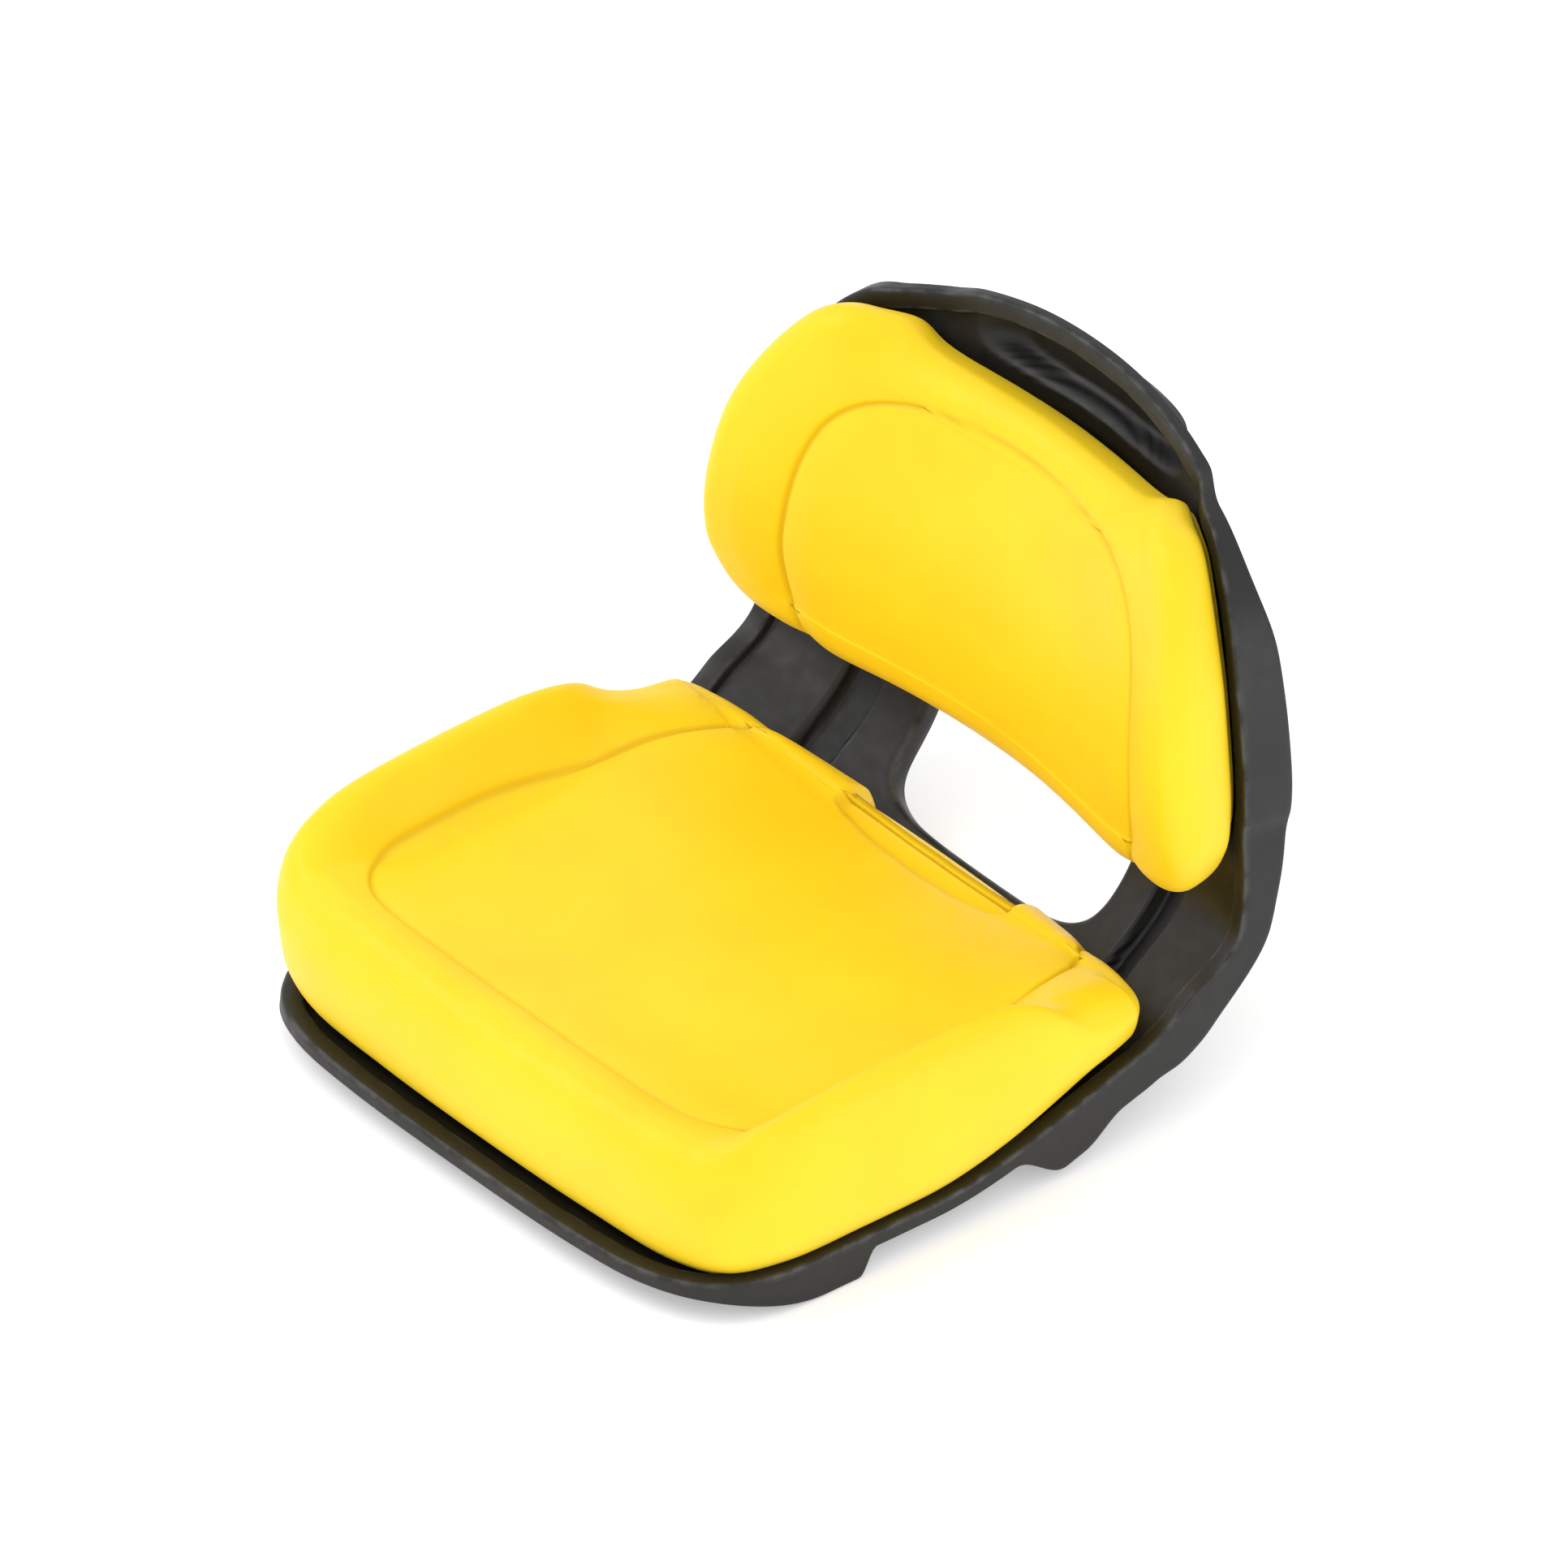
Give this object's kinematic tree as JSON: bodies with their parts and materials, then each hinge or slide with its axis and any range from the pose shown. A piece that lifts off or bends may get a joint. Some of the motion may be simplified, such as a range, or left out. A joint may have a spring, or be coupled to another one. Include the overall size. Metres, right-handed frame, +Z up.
{
  "type": "riding machine seat",
  "caption": "Open-back seat for a riding mower or small tractor: black moulded shell, yellow vinyl seat and back cushions, sprung seat switch.",
  "frame": {"origin": "centre of the four-bolt mounting pattern, in the plane of the insert faces that the seat stands on", "axes": "+X to the sitter's left, +Y to the rear, +Z up"},
  "size_m": [0.5066, 0.5765, 0.4336],
  "materials": {
    "shell_plastic": "fine moulded grain, satin",
    "yellow_vinyl": "soft vinyl with a fine grain, low sheen",
    "foam": "open-cell foam, matt",
    "board": "raw plywood",
    "zinc_steel": "zinc plated",
    "insert_brass": "machined",
    "switch_plastic": "moulded, matt",
    "plunger_plastic": "smooth"
  },
  "bodies": {
    "seat": {"seat_shell": "shell_plastic", "mount_inserts": "insert_brass", "seat_cushion_cover": "yellow_vinyl", "seat_cushion_foam": "foam", "seat_cushion_board": "board", "seat_cushion_staples": "zinc_steel", "seat_cushion_tee_nuts": "zinc_steel", "seat_cushion_screws": "zinc_steel", "seat_cushion_washers": "zinc_steel", "back_cushion_cover": "yellow_vinyl", "back_cushion_foam": "foam", "back_cushion_board": "board", "back_cushion_staples": "zinc_steel", "back_cushion_tee_nuts": "zinc_steel", "back_cushion_screws": "zinc_steel", "back_cushion_washers": "zinc_steel", "switch_housing": "switch_plastic", "switch_cap": "switch_plastic", "switch_terminals": "insert_brass", "switch_spring": "zinc_steel"},
    "plunger": {"switch_plunger": "plunger_plastic", "switch_contact_disc": "insert_brass"}
  },
  "joints": [
    {"name": "plunger_press", "type": "slide", "parent": "seat", "child": "plunger", "axis": [0, 0, 1], "range_m": [-0.004, 0], "stiffness_N_per_m": 500, "deforming": ["switch_spring"]}
  ]
}
